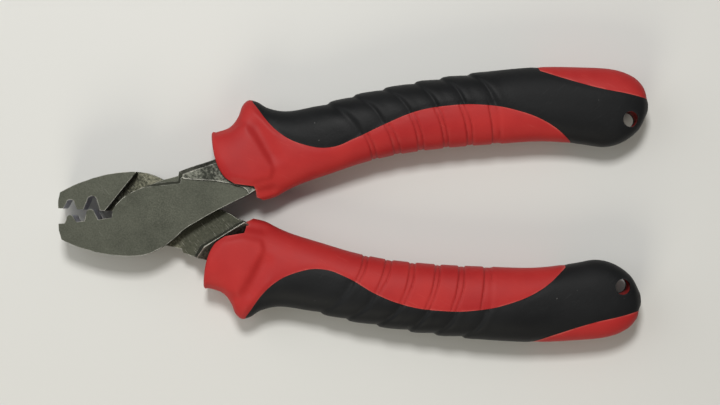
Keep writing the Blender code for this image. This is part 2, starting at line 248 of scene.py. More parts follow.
# edge of the black sleeve, in mm: a point marked True is a corner
sleeveEdge = {
    "valley": (
        (27.8, 27.0, True), (34.2, 18.0, False), (41.0, 13.9, False), (47.5, 12.7, False),
        (54.0, 14.4, False),
    ),
    "hump": (
        (62.6, 18.2, False), (71.0, 20.6, False), (79.0, 21.2, False), (88.0, 20.6, False),
        (97.5, 18.1, False), (106.0, 13.6, False), (112.2, 7.5, True),
    ),
    "tailEnd": ((113.0, -1.0, True), (140.0, -1.0, True), (140.0, 15.5, True)),
    "tail": (
        (132.5, 17.6, True), (127.0, 19.5, False), (121.0, 21.3, False), (111.7, 24.9, False),
        (105.0, 27.9, True),
    ),
    "outside": ((102.0, 36.0, True), (27.0, 36.0, True)),
}

# finger grooves, in mm: the two edges of each on the hard side, then its line over the soft side
grooves = (
    {"head": ((56.5, 15.0), (57.8, 12.0), (58.3, 6.0)), "tail": ((57.6, 15.2), (59.0, 12.2), (59.9, 6.0)),
     "rib": ((56.6, 13.6), (55.4, 16.4), (53.0, 20.4), (49.3, 23.6), (44.5, 26.5))},
    {"head": ((61.9, 17.8), (63.6, 13.5), (64.5, 6.5)), "tail": ((63.0, 17.9), (65.4, 13.5), (66.2, 6.5)),
     "rib": ((62.9, 16.0), (61.5, 18.8), (59.6, 22.4), (55.2, 25.6), (51.0, 28.0))},
    {"head": ((68.7, 20.1), (70.4, 15.2), (70.8, 7.0)), "tail": ((69.8, 20.4), (72.0, 14.6), (72.2, 7.0)),
     "rib": ((69.9, 18.8), (68.2, 22.1), (66.4, 24.4), (63.3, 26.7), (59.0, 29.0))},
    {"head": ((75.4, 21.2), (77.2, 16.0), (77.7, 7.0)), "tail": ((76.6, 21.4), (78.6, 15.4), (79.0, 7.0)),
     "rib": ((77.0, 19.6), (75.7, 23.0), (73.9, 25.3), (71.6, 27.6), (68.0, 30.0))},
    {"head": ((82.3, 21.0), (83.7, 15.9), (83.9, 7.0)), "tail": ((83.6, 21.0), (85.4, 15.7), (85.3, 7.0)),
     "rib": ((84.4, 19.2), (83.1, 23.3), (81.5, 25.8), (78.7, 27.9), (75.0, 30.4))},
    {"head": ((90.1, 20.4), (90.6, 14.8), (90.6, 7.0)), "tail": ((92.8, 19.9), (93.0, 14.5), (92.3, 7.0)),
     "rib": ((92.7, 18.4), (91.1, 23.1), (89.1, 26.3), (86.4, 28.1), (83.0, 30.4))},
)

# raised and sunk details of the grips, in mm in the grip's own frame
moulding = {
    "pad": ((16.2, 19.4), (21.0, 20.6), (25.6, 21.0), (27.5, 18.0), (29.5, 13.8), (31.6, 8.8), (30.6, 6.4),
            (25.6, 5.6), (20.0, 7.3), (17.2, 12.5)),
    "padHeight": 0.55,
    "padSlope": 1.6,
    "valley": ((27.2, 23.6), (28.9, 18.8), (31.0, 14.0), (33.6, 8.8)),
    "valleyDepth": 0.7,
    "valleyWidth": 1.9,
    "valleyEnds": 0.25,
    "rim": ((27.4, 25.0), (30.4, 20.6), (34.4, 15.9)),
    "rimHeight": 0.2,
    "rimWidth": 1.0,
    "rimEnd": 0.2,
    "shelf": ((20.0, 4.9), (26.5, 4.7), (31.5, 4.9), (35.0, 2.0), (36.0, -6.0), (20.0, -6.0)),
    "shelfDepth": 0.8,
    "shelfSlope": (-0.5, 2.6),
    "ribDepth": 0.55,
    "ribRise": 0.12,
    "ribFall": 3.4,
    "ribWall": 0.75,
    "ribCrest": (1.5, 1.1),
    "ribFade": 0.3,
    "grooveLine": 0.26,
    "grooveWidth": 0.24,
    "grooveFloor": (0.03, 0.34),
    "grooveBlur": (-0.2, 0.3),
    "seamDepth": 0.14,
    "seamWidth": 0.8,
    "seamBlur": 0.15,
    "topFacing": (0.45, 0.9),
}

# where each grip sits on its half; the rise shifts the edge of its sleeve
grips = {
    "upper": {"body": "front_half", "flip": 0.0, "turn": 4.8, "shift": (-0.5, 0.0), "ownTurn": 0.0,
              "rise": -0.8, "lever": "front_lever"},
    "lower": {"body": "rear_half", "flip": math.pi, "turn": -3.8, "shift": (-3.4, -0.85), "ownTurn": 1.4,
              "rise": 0.3, "lever": "rear_lever"},
}

tailHole = {"place": (127.6, 11.8), "radius": 2.1, "sides": 48}
mouthNotch = ((10.0, -9.0), (26.3, -9.0), (26.3, 3.0), (26.0, 4.5), (21.0, 5.7), (19.4, 6.9), (10.0, 14.0))


def gripPlace(spec):
    half = Euler((spec["flip"], 0, math.radians(spec["turn"]))).to_matrix().to_4x4()
    shift = Matrix.Translation((spec["shift"][0] * mm, spec["shift"][1] * mm, 0))
    return Matrix.Translation(pivot) @ half @ shift @ Matrix.Rotation(math.radians(spec["ownTurn"]), 4, "Z")


def mouthRows(first):
    # the front edge of the mouth is rounded: smaller rings that step forward
    outer, inner = first[0:2], first[2:4]
    reach = (outer - inner) / np.linalg.norm(outer - inner)
    forward = np.array((-reach[1], reach[0]))
    radius = gripForm["mouthRadius"]
    rows = []
    for angle in np.radians(gripForm["mouthTurns"]):
        drawnIn = radius * (1 - math.cos(angle))
        ahead = forward * radius * (math.sin(angle) - 1)
        row = first.copy()
        row[0:2] = outer + ahead - reach * drawnIn
        row[2:4] = inner + ahead + reach * drawnIn
        row[4] -= drawnIn
        rows.append(row)
    return rows


def gripRows(step, ribStep):
    rows = np.array(gripForm["sections"])
    padded = np.vstack((2 * rows[0] - rows[1], rows, 2 * rows[-1] - rows[-2]))
    rings = []
    for span in range(len(rows) - 1):
        before, here, there, after = padded[span:span + 4]
        reach = (np.linalg.norm(there[0:2] - here[0:2]) + np.linalg.norm(there[2:4] - here[2:4])) / 2
        low, high = gripForm["ribStretch"]
        size = ribStep if low < (here[0] + there[0]) / 2 < high else step
        count = max(2, math.ceil(reach / size))
        # a smooth curve through the four sections, here to there
        for t in np.arange(count) / count:
            rings.append(
                here + 0.5 * t * (there - before)
                + t * t * (before - 2.5 * here + 2 * there - 0.5 * after)
                + t * t * t * (1.5 * (here - there) + 0.5 * (after - before))
            )
    rings.append(rows[-1])
    return np.array(mouthRows(rings[0]) + rings[2:])


def ringPoints(rows, around):
    angle = 2 * np.pi * np.arange(around + 1) / around
    power = 2 / gripForm["squareness"]
    across = np.sign(np.cos(angle)) * np.abs(np.cos(angle)) ** power
    upward = np.sign(np.sin(angle)) * np.abs(np.sin(angle)) ** power
    outer, inner = rows[:, None, 0:2], rows[:, None, 2:4]
    reach = (outer - inner) / 2
    forward = np.stack((-reach[..., 1], reach[..., 0]), axis=-1)
    forward /= np.linalg.norm(forward, axis=-1, keepdims=True)
    bulge = rows[:, None, 5:6] * np.cos(across * np.pi / 2)[None, :, None]
    flat = (outer + inner) / 2 + reach * across[None, :, None] + forward * bulge
    height = rows[:, None, 4] * upward[None, :]
    return np.concatenate((flat, height[..., None]), axis=-1)


def gripSolid(name, step, ribStep, around):
    # a grid rolled into a tube along the sections, then closed at both ends
    rows = gripRows(step, ribStep)
    targets = ringPoints(rows, around) * mm
    deselectAll()
    bpy.ops.mesh.primitive_grid_add(x_subdivisions=len(rows) - 1, y_subdivisions=around, size=1)
    piece = bpy.context.object
    piece.name = name
    flat = np.zeros(len(piece.data.vertices) * 3)
    piece.data.vertices.foreach_get("co", flat)
    flat = flat.reshape(-1, 3)
    along = np.rint((flat[:, 0] + 0.5) * (len(rows) - 1)).astype(int)
    turn = np.rint((flat[:, 1] + 0.5) * around).astype(int)
    piece.data.vertices.foreach_set("co", targets[along, turn].ravel())
    bpy.ops.object.mode_set(mode="EDIT")
    bpy.ops.mesh.select_all(action="SELECT")
    bpy.ops.mesh.remove_doubles(threshold=meshing["merge"] * mm)
    bpy.ops.mesh.fill_holes(sides=0)
    bpy.ops.mesh.select_all(action="DESELECT")
    bpy.ops.mesh.select_face_by_sides(number=4, type="GREATER")
    bpy.ops.mesh.poke()
    bpy.ops.mesh.select_all(action="SELECT")
    bpy.ops.mesh.normals_make_consistent(inside=False)
    bpy.ops.object.mode_set(mode="OBJECT")
    return piece


def traceOutline(points, growth=0.0):
    # smooth curve through the points, moved outwards by the growth, as x, y in mm
    deselectAll()
    bpy.ops.curve.primitive_bezier_curve_add()
    curve = bpy.context.object
    curve.data.dimensions = "2D"
    curve.data.fill_mode = "NONE"
    curve.data.resolution_u = meshing["curveSteps"]
    spline = curve.data.splines[0]
    spline.bezier_points.add(len(points) - 2)
    for knot, (x, y, corner) in zip(spline.bezier_points, points):
        knot.co = (x * mm, y * mm, 0)
        knot.handle_left_type = "VECTOR" if corner else "AUTO"
        knot.handle_right_type = "VECTOR" if corner else "AUTO"
    spline.use_cyclic_u = True
    bpy.ops.object.convert(target="MESH")
    traced = np.array([vertex.co[0:2] for vertex in bpy.context.object.data.vertices]) / mm
    throwAway([bpy.context.object])
    apart = np.linalg.norm(traced - np.roll(traced, 1, axis=0), axis=1)
    traced = traced[apart > meshing["outlineStep"]]
    x, y = traced[:, 0], traced[:, 1]
    if np.sum(x * np.roll(y, -1) - y * np.roll(x, -1)) < 0:
        traced = traced[::-1]
    if growth:
        onward = np.roll(traced, -1, axis=0) - traced
        onward /= np.linalg.norm(onward, axis=1, keepdims=True)
        side = np.stack((onward[:, 1], -onward[:, 0]), axis=1)
        middle = side + np.roll(side, 1, axis=0)
        middle /= np.linalg.norm(middle, axis=1, keepdims=True)
        stretch = np.maximum(0.5, np.sum(middle * side, axis=1))
        traced = traced + middle * (growth / stretch)[:, None]
    return traced


def prismOf(outline):
    # a flat disc whose rim is put on the outline, then extruded through the whole tool
    reach = meshing["cutReach"] * mm
    deselectAll()
    bpy.ops.mesh.primitive_circle_add(vertices=len(outline), radius=mm, fill_type="NGON")
    prism = bpy.context.object
    for vertex, (x, y) in zip(prism.data.vertices, outline):
        vertex.co = (x * mm, y * mm, -reach)
    bpy.ops.object.mode_set(mode="EDIT")
    bpy.ops.mesh.select_all(action="SELECT")
    bpy.ops.mesh.extrude_region_move(TRANSFORM_OT_translate={"value": (0, 0, 2 * reach)})
    bpy.ops.mesh.select_all(action="SELECT")
    bpy.ops.mesh.normals_make_consistent(inside=False)
    bpy.ops.object.mode_set(mode="OBJECT")
    return prism


def smoothStep(low, high, values):
    t = np.clip((values - low) / (high - low), 0, 1)
    return t * t * (3 - 2 * t)


def softened(line):
    # cuts the corners of a line twice
    line = np.array(line, float)
    for _ in range(2):
        cut = [line[0]]
        for here, there in zip(line, line[1:]):
            cut += [0.75 * here + 0.25 * there, 0.25 * here + 0.75 * there]
        cut.append(line[-1])
        line = np.array(cut)
    return line


def lineField(points, line):
    # distance to a line, positive on its right, and how far along it the nearest place is, 0 to 1
    lengths = np.linalg.norm(np.diff(line, axis=0), axis=1)
    starts = np.concatenate(([0], np.cumsum(lengths)))
    nearest = np.full(len(points), np.inf)
    side = np.ones(len(points))
    along = np.zeros(len(points))
    for start, end, length, before in zip(line, line[1:], lengths, starts):
        heading = (end - start) / length
        offset = points - start
        t = np.clip(offset @ heading, 0, length)
        apart = np.linalg.norm(offset - t[:, None] * heading, axis=1)
        closer = apart < nearest
        nearest[closer] = apart[closer]
        side[closer] = np.sign(heading[1] * offset[closer, 0] - heading[0] * offset[closer, 1])
        along[closer] = (before + t[closer]) / starts[-1]
    return nearest * side, along


def areaField(points, outline):
    # distance to an outline, positive inside it
    nearest = np.full(len(points), np.inf)
    inside = np.zeros(len(points), bool)
    for start, end in zip(outline, np.roll(outline, -1, axis=0)):
        heading = end - start
        offset = points - start
        t = np.clip(offset @ heading / max(heading @ heading, 1e-9), 0, 1)
        nearest = np.minimum(nearest, np.linalg.norm(offset - t[:, None] * heading, axis=1))
        spans = (start[1] > points[:, 1]) != (end[1] > points[:, 1])
        if abs(heading[1]) > 1e-9:
            inside ^= spans & (points[:, 0] < start[0] + (points[:, 1] - start[1]) * heading[0] / heading[1])
    return np.where(inside, nearest, -nearest)


def ribField(flat, groove):
    # a step across the soft side: steep towards the tail, falling back slowly towards the head
    across, along = lineField(flat, softened(groove["rib"]))
    fall = np.where(across < 0, np.clip(1 + across / moulding["ribFall"], 0, 1) ** 2,
                    1 - smoothStep(0, moulding["ribWall"], across))
    crest, crestWidth = moulding["ribCrest"]
    rise = np.exp(-((across - crest) / crestWidth) ** 2)
    strength = 1 - moulding["ribFade"] * along
    return strength * (moulding["ribRise"] * rise - moulding["ribDepth"] * fall)


def grooveField(flat, groove):
    # a shallow slot on the hard side with a fine line along each edge, deeper towards the inner side
    headSide, along = lineField(flat, softened(groove["head"]))
    tailSide, _ = lineField(flat, softened(groove["tail"]))
    headSide, tailSide = -headSide, -tailSide
    blur = moulding["grooveBlur"]
    between = smoothStep(*blur, headSide) * smoothStep(*blur, -tailSide)
    shallow, deep = moulding["grooveFloor"]
    floor = shallow + (deep - shallow) * along ** 2
    width = moulding["grooveWidth"]
    lines = np.exp(-(headSide / width) ** 2) + np.exp(-(tailSide / width) ** 2)
    return -floor * between - moulding["grooveLine"] * lines


def mouldedHeights(points, normals, edge):
    # height of every detail at each point of the form, in mm
    flat = points[:, 0:2]
    facing = smoothStep(*moulding["topFacing"], np.abs(normals[:, 2]))
    cover = areaField(flat, edge)
    onSleeve = smoothStep(-moulding["seamBlur"], moulding["seamBlur"], cover)
    heights = np.zeros(len(points))
    for groove in grooves:
        heights += onSleeve * ribField(flat, groove)
        heights += (1 - onSleeve) * grooveField(flat, groove)
    pad = areaField(flat, np.array(moulding["pad"]))
    slope = moulding["padSlope"] / 2
    heights += facing * moulding["padHeight"] * smoothStep(-slope, slope, pad)
    valley, along = lineField(flat, softened(moulding["valley"]))
    run = moulding["valleyEnds"]
    ends = smoothStep(0, run, along) * (1 - smoothStep(1 - run, 1, along))
    heights -= facing * moulding["valleyDepth"] * np.exp(-(valley / moulding["valleyWidth"]) ** 2) * ends
    rim, along = lineField(flat, softened(moulding["rim"]))
    end = smoothStep(0, moulding["rimEnd"], 1 - along)
    heights += facing * moulding["rimHeight"] * np.exp(-(rim / moulding["rimWidth"]) ** 2) * end
    shelf = areaField(flat, np.array(moulding["shelf"]))
    heights -= facing * moulding["shelfDepth"] * smoothStep(*moulding["shelfSlope"], shelf)
    heights -= moulding["seamDepth"] * np.exp(-(cover / moulding["seamWidth"]) ** 2)
    return heights


def meshArrays(piece):
    count = len(piece.data.vertices)
    points, normals = np.zeros(count * 3), np.zeros(count * 3)
    piece.data.vertices.foreach_get("co", points)
    piece.data.vertices.foreach_get("normal", normals)
    return points.reshape(-1, 3) / mm, normals.reshape(-1, 3)


def sculpt(piece, heights):
    # raises and sinks the surface along its normals, with a weight for every vertex
    for label, sign in (("raised", 1), ("sunk", -1)):
        share = np.clip(heights * sign, 0, None)
        most = float(share.max())
        group = piece.vertex_groups.new(name=label)
        for index in np.flatnonzero(share > meshing["leastHeight"]):
            group.add([int(index)], float(share[index]) / most, "REPLACE")
        press = piece.modifiers.new(label, "DISPLACE")
        press.vertex_group = label
        press.mid_level = 0
        press.strength = sign * most * mm
    applyModifiers(piece)
    piece.vertex_groups.clear()


def shrunk(name, inset):
    # a coarser form inside the outer one
    inner = gripSolid(name, gripForm["innerStep"], gripForm["innerStep"], gripForm["innerAround"])
    press = inner.modifiers.new("inset", "DISPLACE")
    press.mid_level = 0
    press.strength = -inset * mm
    applyModifiers(inner)
    return inner


def tailPeg():
    deselectAll()
    bpy.ops.mesh.primitive_cylinder_add(
        vertices=tailHole["sides"], radius=tailHole["radius"] * mm, depth=2 * meshing["cutReach"] * mm,
        location=(tailHole["place"][0] * mm, tailHole["place"][1] * mm, 0),
    )
    bakePlace(bpy.context.object)
    return bpy.context.object


def mergedCopy(node, name):
    # the frame's mesh is loose triangles: the copy is merged and its flat faces joined
    piece = copyOf(frame["nodes"][node], name)
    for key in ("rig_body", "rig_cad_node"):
        del piece[key]
    piece.parent = None
    pick(piece)
    bpy.ops.mesh.customdata_custom_splitnormals_clear()
    bpy.ops.object.mode_set(mode="EDIT")
    bpy.ops.mesh.select_all(action="SELECT")
    bpy.ops.mesh.remove_doubles(threshold=meshing["merge"] * mm)
    bpy.ops.mesh.dissolve_limited(angle_limit=math.radians(meshing["flatUnder"]))
    bpy.ops.object.mode_set(mode="OBJECT")
    return piece


def tangSocket(spec, place):
    socket = mergedCopy(spec["lever"], "socket")
    socket.data.transform(place.inverted())
    press = socket.modifiers.new("room", "DISPLACE")
    press.mid_level = 0
    press.strength = gripForm["socketRoom"] * mm
    applyModifiers(socket)
    return socket


def evenShading(piece, angle):
    # smooth, sharp only past the angle, and led by the larger faces
    pick(piece)
    bpy.ops.object.shade_smooth_by_angle(angle=math.radians(angle))
    even = piece.modifiers.new("even", "WEIGHTED_NORMAL")
    even.weight = meshing["faceWeight"]
    even.keep_sharp = True
    applyModifiers(piece)


def finishPiece(piece, angle):
    pick(piece)
    bpy.ops.object.mode_set(mode="EDIT")
    bpy.ops.mesh.select_all(action="SELECT")
    bpy.ops.mesh.remove_doubles(threshold=meshing["mergeCut"] * mm)
    bpy.ops.mesh.delete_loose()
    bpy.ops.object.mode_set(mode="OBJECT")
    evenShading(piece, angle)


def makeGrip(side, spec):
    place = gripPlace(spec)
    upperPart = sleeveEdge["hump"] + sleeveEdge["tailEnd"] + sleeveEdge["tail"]
    raised = [(x, y + spec["rise"], corner) for x, y, corner in upperPart]
    points = list(sleeveEdge["valley"]) + raised + list(sleeveEdge["outside"])
    edge = traceOutline(points)

    form = gripSolid(side + "GripCore", gripForm["step"], gripForm["ribStep"], gripForm["around"])
    sculpt(form, mouldedHeights(*meshArrays(form), edge))
    sleeve = copyOf(form, side + "GripSleeve")
    core = form

    region = prismOf(edge)
    inside = shrunk("inside", gripForm["wall"])
    peg = tailPeg()
    cutWith(sleeve, "INTERSECT", [region])
    cutWith(sleeve, "DIFFERENCE", [inside, peg])

    bed = prismOf(traceOutline(points, gripForm["gap"]))
    bedFloor = shrunk("bedFloor", gripForm["wall"] + gripForm["gap"])
    cutWith(bed, "DIFFERENCE", [bedFloor])
    notch = prismOf(mouthNotch)
    socket = tangSocket(spec, place)
    cutWith(core, "DIFFERENCE", [bed, notch, peg, socket])
    throwAway([region, inside, peg, bed, bedFloor, notch, socket])

    for piece, finish, node in ((core, redPlastic, "_grip_core"), (sleeve, blackRubber, "_grip_sleeve")):
        piece.data.transform(place)
        finishPiece(piece, gripForm["smoothUnder"])
        piece.data.materials.clear()
        piece.data.materials.append(finish)
        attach(piece, spec["body"])
        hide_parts(side + node)
        print(piece.name, len(piece.data.polygons), "faces")


# sizes in mm from the pivot, angles in degrees
leverFinish = {
    "edge": 0.16,
    "segments": 2,
    "smoothUnder": 28,
    "rivetZone": 4.4,
    "finishes": ("leverSteel", "forgedSteel", "shadedSlopeSteel", "dieSteelWithPaintedLight", "lapSteel"),
    "uprightUnder": 0.2,
    "levelOver": 0.9,
    "lapHeight": 0.3,
    "groundHeight": 4.75,
    "groundBlur": 0.12,
    "tangFrom": 4.6,
    "diesTo": -8.0,
    "diesHalf": 5.2,
}


def weightSharpEdges(piece):
    # every sharp edge is to be broken, except round the rivet, which is ground flush
    shape = bmesh.new()
    shape.from_mesh(piece.data)
    weight = shape.edges.layers.float.new("bevel_weight_edge")
    for edge in shape.edges:
        away = max(vertex.co.xy.length for vertex in edge.verts) / mm
        sharp = edge.calc_face_angle(0) > math.radians(leverFinish["smoothUnder"])
        edge[weight] = float(sharp and away > leverFinish["rivetZone"])
    shape.to_mesh(piece.data)
    shape.free()


def steelOf(face):
    # the crimping dies are machined, and brightened and tinted blue as painted light; both sides of the head
    # and the lap are ground, the tangs as forged, with painted shade on their sloped faces
    x, y, height = (face.center - pivot) / mm
    height = abs(height)
    upright = abs(face.normal.z) < leverFinish["uprightUnder"]
    level = abs(face.normal.z) > leverFinish["levelOver"]
    top = leverFinish["groundHeight"]
    if upright:
        isDie = x < leverFinish["diesTo"] and abs(y) < leverFinish["diesHalf"]
        return "dieSteelWithPaintedLight" if isDie else "leverSteel"
    if height < leverFinish["lapHeight"]:
        return "lapSteel"
    if x <= leverFinish["tangFrom"] or abs(height - top) < leverFinish["groundBlur"]:
        return "leverSteel"
    # sloped tang faces get a darker steel: painted shade
    return "forgedSteel" if level or height > top else "shadedSlopeSteel"


def finishLever(node, name, body):
    # the frame's own shape, with every sharp edge broken
    piece = mergedCopy(node, name)
    weightSharpEdges(piece)
    bevel = piece.modifiers.new("edges", "BEVEL")
    bevel.width = leverFinish["edge"] * mm
    bevel.segments = leverFinish["segments"]
    bevel.limit_method = "WEIGHT"
    bevel.use_clamp_overlap = True
    applyModifiers(piece)
    evenShading(piece, leverFinish["smoothUnder"])
    piece.data.materials.clear()
    for finish in leverFinish["finishes"]:
        piece.data.materials.append(steels[finish])
    for face in piece.data.polygons:
        face.material_index = leverFinish["finishes"].index(steelOf(face))
    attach(piece, body)
    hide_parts(node)
    print(name, len(piece.data.polygons), "faces")
    return piece


rivet = {
    "shank": 3.38,
    "end": 4.07,
    "cone": 0.9,
    "length": 9.5,
    "sides": 96,
    "rim": 0.05,
    "inset": 1.2,
    "smoothUnder": 30,
}


def makeRivet():
    deselectAll()
    bpy.ops.mesh.primitive_cylinder_add(
        vertices=rivet["sides"], radius=rivet["shank"] * mm,
        depth=(rivet["length"] - 2 * rivet["cone"]) * mm, location=pivot,
    )
    pin = bpy.context.object
    pin.name = "pivotRivet"
    bakePlace(pin)
    spread = rivet["end"] / rivet["shank"]
    for upward in (1, -1):
        bpy.ops.object.mode_set(mode="EDIT")
        bpy.ops.mesh.select_all(action="DESELECT")
        bpy.ops.object.mode_set(mode="OBJECT")
        for face in pin.data.polygons:
            face.select = face.normal.z * upward > leverFinish["levelOver"]
        bpy.ops.object.mode_set(mode="EDIT")
        rise = upward * rivet["cone"] * mm
        bpy.ops.mesh.extrude_region_move(TRANSFORM_OT_translate={"value": (0, 0, rise)})
        bpy.ops.transform.resize(value=(spread, spread, 1))
        bpy.ops.mesh.inset(thickness=rivet["rim"] * mm)
        bpy.ops.mesh.inset(thickness=rivet["inset"] * mm)
        bpy.ops.object.mode_set(mode="OBJECT")
    bpy.ops.object.shade_smooth_by_angle(angle=math.radians(rivet["smoothUnder"]))
    pin.data.materials.append(steels["rivetSteel"])
    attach(pin, "front_half")
    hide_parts("pivot_rivet")


def addNode(tree, kind, inputs=None, **settings):
    node = tree.nodes.new("ShaderNode" + kind)
    for name, value in settings.items():
        setattr(node, name, value)
    for name, value in (inputs or {}).items():
        if isinstance(value, bpy.types.NodeSocket):
            tree.links.new(value, node.inputs[name])
        else:
            node.inputs[name].default_value = value
    return node


def scaled(tree, value, low, high, floor=0.0, ceiling=1.0):
    return addNode(tree, "MapRange", {
        "Value": value, "From Min": low, "From Max": high, "To Min": floor, "To Max": ceiling,
    }).outputs["Result"]


def product(tree, first, second):
    return addNode(tree, "Math", {0: first, 1: second}, operation="MULTIPLY").outputs[0]


def blended(tree, factor, first, second):
    node = addNode(tree, "Mix", {0: factor, 6: first, 7: second}, data_type="RGBA")
    return node.outputs[2]


def noise(tree, coords, scale, detail=2.0, rough=0.5):
    return addNode(tree, "TexNoise", {
        "Vector": coords, "Scale": scale, "Detail": detail, "Roughness": rough,
    }).outputs["Fac"]


def newGroup(name, inputs, outputs):
    group = bpy.data.node_groups.new(name, "ShaderNodeTree")
    for label, value in inputs.items():
        socket = group.interface.new_socket(name=label, in_out="INPUT", socket_type="NodeSocketFloat")
        socket.default_value = value
    for label in outputs:
        group.interface.new_socket(name=label, in_out="OUTPUT", socket_type="NodeSocketFloat")
    return group, group.nodes.new("NodeGroupInput").outputs, group.nodes.new("NodeGroupOutput").inputs


def useGroup(tree, group, inputs):
    node = tree.nodes.new("ShaderNodeGroup")
    node.node_tree = group
    for label, value in inputs.items():
        node.inputs[label].default_value = value
    return node.outputs


edgeWearAndHighlightForm = {
    "inputs": {"Width": 0.0003, "Strength": 8.0, "Patches": 300.0},
    "samples": 6,
    "reach": 0.0015,
    "convex": (0.62, 0.9),
    "patches": (0.38, 0.62),
}


def buildEdgeWearAndHighlight():
    # where a convex edge has been rubbed, in patches; also used for a wide band that is worn edge with a
    # painted highlight
    group, given, result = newGroup("edgeWearAndHighlight", edgeWearAndHighlightForm["inputs"], ("Mask",))
    samples = edgeWearAndHighlightForm["samples"]
    coords = addNode(group, "TexCoord").outputs["Object"]
    rounded = addNode(group, "Bevel", {"Radius": given["Width"]}, samples=samples).outputs["Normal"]
    facing = addNode(group, "NewGeometry").outputs["Normal"]
    same = addNode(group, "VectorMath", {0: rounded, 1: facing}, operation="DOT_PRODUCT").outputs["Value"]
    turned = addNode(group, "Math", {0: 1.0, 1: same}, operation="SUBTRACT").outputs[0]
    edge = product(group, turned, given["Strength"])
    clear = addNode(group, "AmbientOcclusion", {"Distance": edgeWearAndHighlightForm["reach"]}, samples=samples).outputs["AO"]
    convex = scaled(group, clear, *edgeWearAndHighlightForm["convex"])
    patches = scaled(group, noise(group, coords, given["Patches"], 3.0), *edgeWearAndHighlightForm["patches"])
    group.links.new(product(group, product(group, edge, convex), patches), result["Mask"])
    return group


dirtAndShadeForm = {
    "inputs": {"Reach": 0.0012, "Patches": 250.0},
    "samples": 8,
    "hollow": (0.95, 0.45),
    "patches": (0.2, 0.7),
    "share": (0.55, 1.0),
}


def buildHollowDirtAndShade():
    # dirt that settles in grooves and corners, with painted shade: darker wherever ambient occlusion finds
    # the surface hollow
    group, given, result = newGroup("hollowDirtAndShade", dirtAndShadeForm["inputs"], ("Mask",))
    coords = addNode(group, "TexCoord").outputs["Object"]
    clear = addNode(group, "AmbientOcclusion", {"Distance": given["Reach"]}, samples=dirtAndShadeForm["samples"])
    hollow = scaled(group, clear.outputs["AO"], *dirtAndShadeForm["hollow"])
    spots = noise(group, coords, given["Patches"], 3.0)
    patches = scaled(group, spots, *dirtAndShadeForm["patches"], *dirtAndShadeForm["share"])
    group.links.new(product(group, hollow, patches), result["Mask"])
    return group


grainForm = {
    "inputs": {"Fine": 2600.0, "Broad": 90.0},
    "coarse": 0.32,
    "roughness": {"fine": 0.6, "coarse": 0.5, "broad": 0.55},
    "broad": (0.3, 0.7),
}


def buildGrain():
    # fine moulded or blasted grain, with broad soft patches
    group, given, result = newGroup("surfaceGrain", grainForm["inputs"], ("Height", "Fine", "Broad"))
    rough = grainForm["roughness"]
    coords = addNode(group, "TexCoord").outputs["Object"]
    fine = noise(group, coords, given["Fine"], 2.0, rough["fine"])
    coarseScale = product(group, given["Fine"], grainForm["coarse"])
    coarse = noise(group, coords, coarseScale, 2.0, rough["coarse"])
    broad = noise(group, coords, given["Broad"], 4.0, rough["broad"])
    height = addNode(group, "Math", {0: fine, 1: coarse}, operation="ADD").outputs[0]
    group.links.new(product(group, height, 0.5), result["Height"])
    group.links.new(fine, result["Fine"])
    group.links.new(scaled(group, broad, *grainForm["broad"]), result["Broad"])
    return group


scratchForm = {
    "inputs": {"Turn": 0.4, "Length": 160.0, "Width": 5200.0, "Amount": 0.5},
    "lines": (0.64, 0.72),
    "patchScale": 140.0,
    "patches": (0.42, 0.66),
}


def buildScratches():
    # short fine scratches that run one way, in patches
    group, given, result = newGroup("fineScratches", scratchForm["inputs"], ("Mask",))
    coords = addNode(group, "TexCoord").outputs["Object"]
    turn = addNode(group, "CombineXYZ", {"Z": given["Turn"]}).outputs[0]
    turned = addNode(group, "Mapping", {"Vector": coords, "Rotation": turn}).outputs[0]
    sizes = {"X": given["Length"], "Y": given["Width"], "Z": given["Length"]}
    stretch = addNode(group, "CombineXYZ", sizes).outputs[0]
    drawn = addNode(group, "VectorMath", {0: turned, 1: stretch}, operation="MULTIPLY").outputs[0]
    lines = scaled(group, noise(group, drawn, 1.0, 2.0, 0.5), *scratchForm["lines"])
    spots = noise(group, coords, scratchForm["patchScale"], 3.0)
    patches = scaled(group, spots, *scratchForm["patches"])
    group.links.new(product(group, product(group, lines, patches), given["Amount"]), result["Mask"])
    return group


edgeWearAndHighlight = buildEdgeWearAndHighlight()
hollowDirtAndShade = buildHollowDirtAndShade()
surfaceGrain = buildGrain()
fineScratches = buildScratches()


def newFinish(name):
    finish = bpy.data.materials.new(name)
    finish.use_nodes = True
    return finish, finish.node_tree, finish.node_tree.nodes["Principled BSDF"]


def bumped(tree, shader, height, strength, distance):
    bump = addNode(tree, "Bump", {"Height": height, "Strength": strength, "Distance": distance})
    tree.links.new(bump.outputs["Normal"], shader.inputs["Normal"])


def roughened(tree, shader, broad, span):
    tree.links.new(scaled(tree, broad, 0.0, 1.0, *span), shader.inputs["Roughness"])


redLook = {
    "deep": (0.33, 0.015, 0.016, 1),
    "light": (0.41, 0.024, 0.022, 1),
    "rubbed": (0.55, 0.10, 0.085, 1),
    "grimeAndShade": (0.10, 0.008, 0.009, 1),
    "roughness": (0.50, 0.64),
    "specular": 0.2,
    "grain": {"Fine": 2400.0, "Broad": 70.0},
    "wear": {"Width": 0.0009, "Strength": 4.0, "Patches": 260.0},
    "dirtAndShade": {"Reach": 0.0016, "Patches": 220.0},
    "scratch": {"Turn": 0.5, "Length": 220.0, "Width": 4200.0, "Amount": 0.45},
    "wearShare": 0.6,
    "scratchShare": 0.5,
    "bump": (0.22, 0.00012),
}


